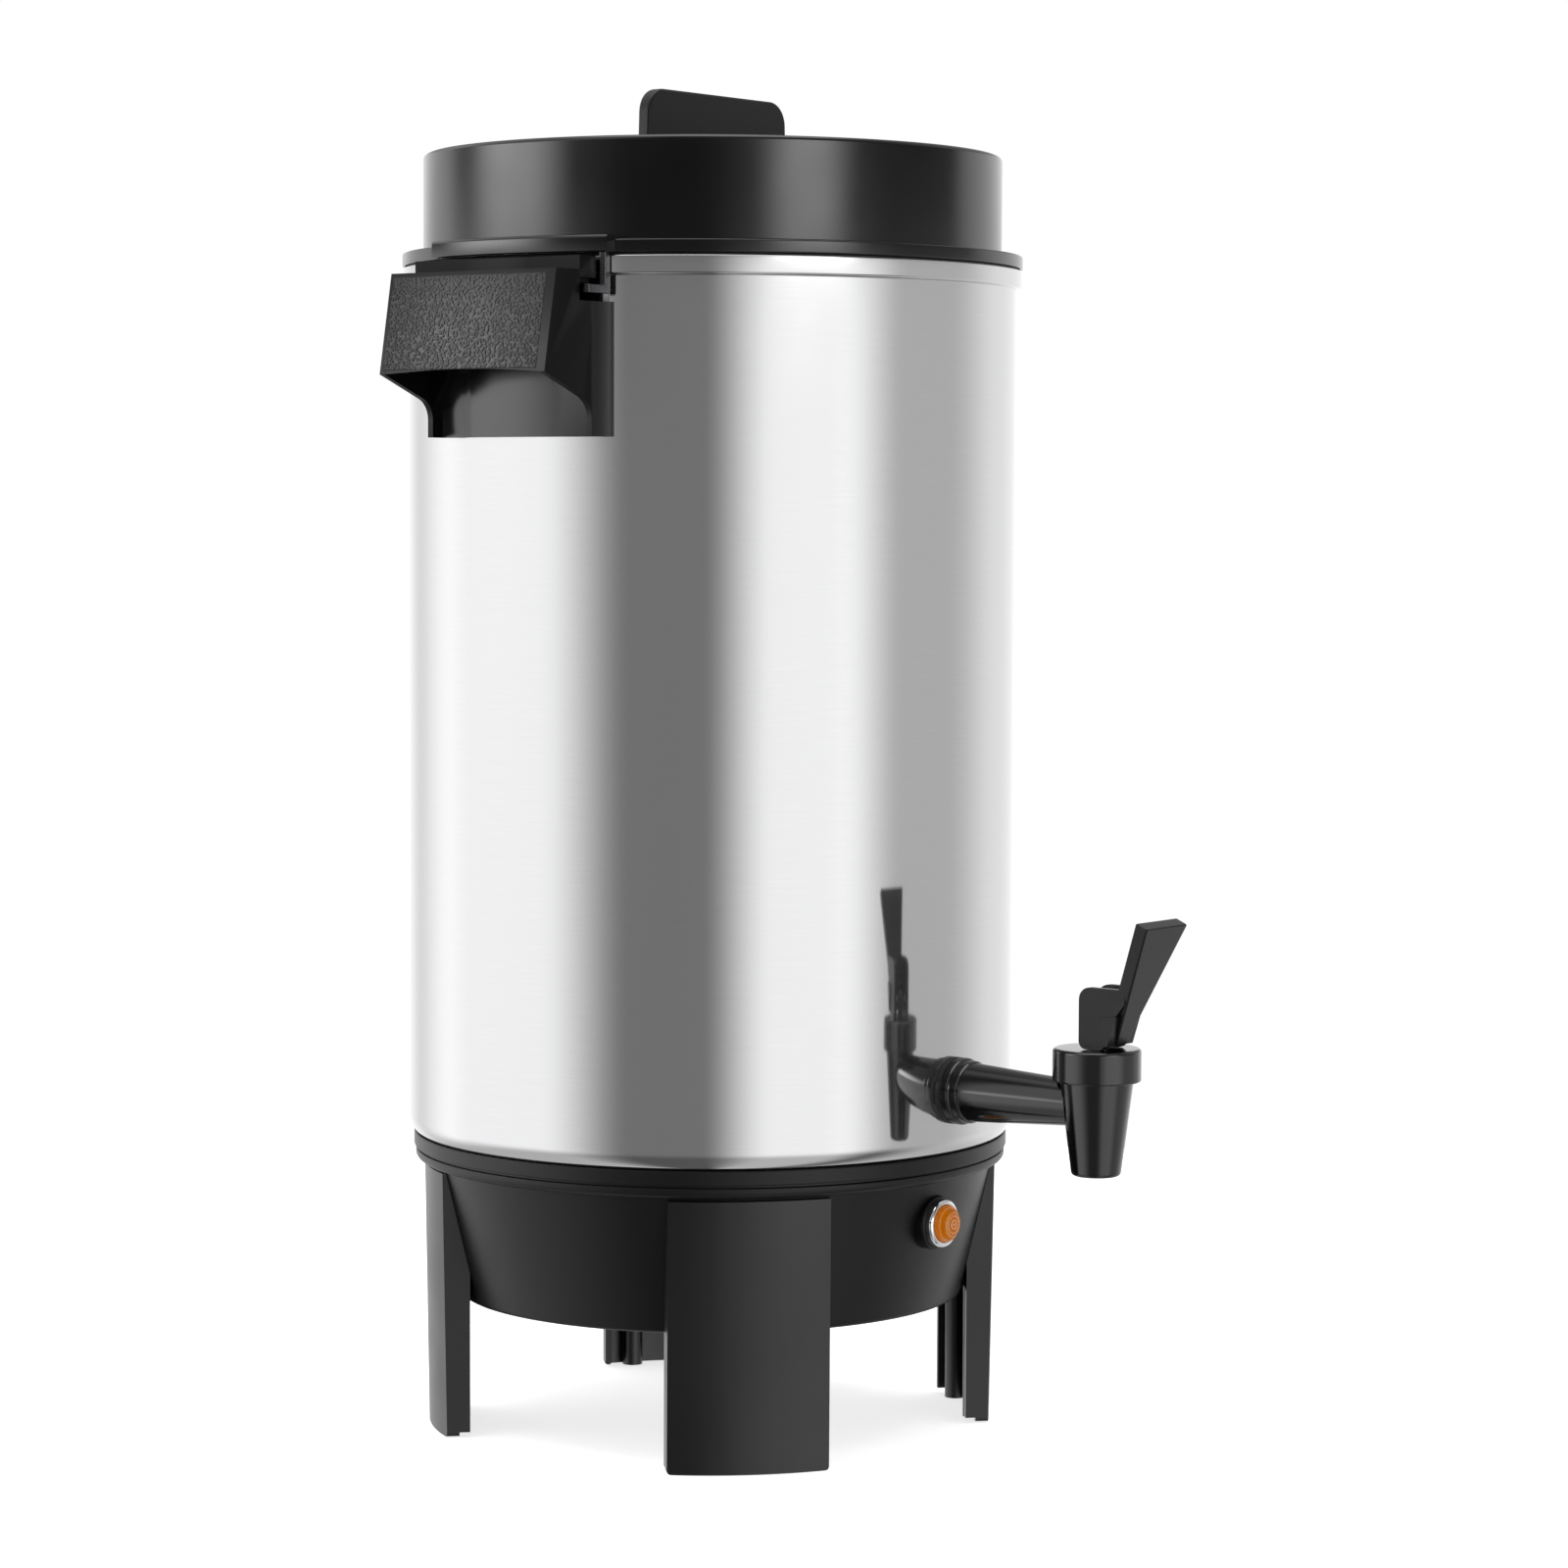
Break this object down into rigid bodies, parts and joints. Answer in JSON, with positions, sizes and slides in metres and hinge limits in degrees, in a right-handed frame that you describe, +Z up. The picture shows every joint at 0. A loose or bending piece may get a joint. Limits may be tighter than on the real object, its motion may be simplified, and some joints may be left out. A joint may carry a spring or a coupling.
{
  "type": "coffee urn",
  "caption": "Electric percolator coffee urn: polished steel tank on a black base with channel legs, twist-lock lid, side handles, self-closing tap and amber pilot light.",
  "frame": {"origin": "on the urn's vertical axis, in the plane its legs stand on", "axes": "+Z up along the tank's axis, -Y towards the tap, handles along -X and +X"},
  "size_m": [0.316, 0.3571, 0.5564],
  "materials": {
    "polished_steel": "fine satin polish",
    "black_plastic": "fine moulded satin",
    "grained_plastic": "leather grain on the grip panel",
    "lid_plastic": "satin moulded",
    "tap_plastic": "semi-gloss moulded",
    "chrome_trim": "bright plated",
    "amber_lens": "clear amber, ribbed",
    "seal_rubber": "black silicone",
    "steel_hardware": "plain zinc plated",
    "percolator_aluminium": "satin spun",
    "heater_sheath": "heat-dulled",
    "brass_contact": "plain",
    "control_plastic": "phenolic moulding",
    "lamp_glass": "clear"
  },
  "bodies": {
    "urn": {"tank": "polished_steel", "tank_studs": "steel_hardware", "stud_nuts": "steel_hardware", "base_shell": "black_plastic", "bottom_cover": "black_plastic", "bottom_cover_screws": "steel_hardware", "leg_front_right": "black_plastic", "leg_rear_right": "black_plastic", "leg_rear_left": "black_plastic", "leg_front_left": "black_plastic", "leg_screws": "steel_hardware", "handle_left": "grained_plastic", "handle_right": "grained_plastic", "handle_screws": "steel_hardware", "handle_washers": "seal_rubber", "tap_gasket": "seal_rubber", "tap_body": "tap_plastic", "tap_inner_washer": "seal_rubber", "tap_nut": "tap_plastic", "bonnet": "tap_plastic", "valve_spring": "steel_hardware", "pilot_bezel": "chrome_trim", "pilot_lens": "amber_lens", "pilot_housing": "black_plastic", "pilot_lamp": "lamp_glass", "pilot_nut": "steel_hardware", "brew_heater": "heater_sheath", "warming_heater": "heater_sheath", "heater_clamp": "steel_hardware", "thermostat": "heater_sheath", "thermal_cutoff": "control_plastic", "terminal_block": "control_plastic", "power_inlet": "black_plastic", "inlet_frame": "black_plastic", "inlet_pins": "brass_contact", "inlet_screws": "steel_hardware"},
    "pump": {"pump_stem": "percolator_aluminium", "pump_foot": "percolator_aluminium"},
    "basket": {"basket": "percolator_aluminium"},
    "basket_cover": {"basket_cover": "percolator_aluminium"},
    "lid_seal": {"lid_gasket": "seal_rubber"},
    "lid": {"lid_shell": "lid_plastic", "lid_latches": "steel_hardware", "lid_grip": "black_plastic", "lid_grip_screws": "steel_hardware"},
    "valve": {"valve_stem": "tap_plastic", "seat_cup": "seal_rubber"},
    "lever": {"tap_lever": "tap_plastic", "lever_pin": "steel_hardware"}
  },
  "joints": [
    {"name": "lid_lift", "type": "slide", "parent": "urn", "child": "lid_seal", "axis": [0, 0, 1], "range_m": [0, 0.2]},
    {"name": "lid_turn", "type": "hinge", "parent": "lid_seal", "child": "lid", "pos_m": [0, 0, 0.484], "axis": [0, 0, 1], "range_deg": [-3.5, 0]},
    {"name": "pump_lift", "type": "slide", "parent": "urn", "child": "pump", "axis": [0, 0, 1], "range_m": [0, 0.05]},
    {"name": "basket_lift", "type": "slide", "parent": "pump", "child": "basket", "axis": [0, 0, 1], "range_m": [0, 0.05]},
    {"name": "cover_lift", "type": "slide", "parent": "basket", "child": "basket_cover", "axis": [0, 0, 1], "range_m": [0, 0.05]},
    {"name": "valve_lift", "type": "slide", "parent": "urn", "child": "valve", "axis": [0, 0, 1], "range_m": [0, 0.0033], "deforming": ["valve_spring"]},
    {"name": "lever_pull", "type": "hinge", "parent": "valve", "child": "lever", "pos_m": [0, -0.1954, 0.17985], "axis": [1, 0, 0], "range_deg": [0, 30], "stiffness_Nm_per_rad": 0.5, "springref_deg": -22.92}
  ],
  "couplings": [
    {"joint": "pump_lift", "follows": "lid_lift", "ratio": 0.25},
    {"joint": "basket_lift", "follows": "lid_lift", "ratio": 0.25},
    {"joint": "cover_lift", "follows": "lid_lift", "ratio": 0.25},
    {"joint": "valve_lift", "follows": "lever_pull", "m_per_rad": 0.0062}
  ]
}
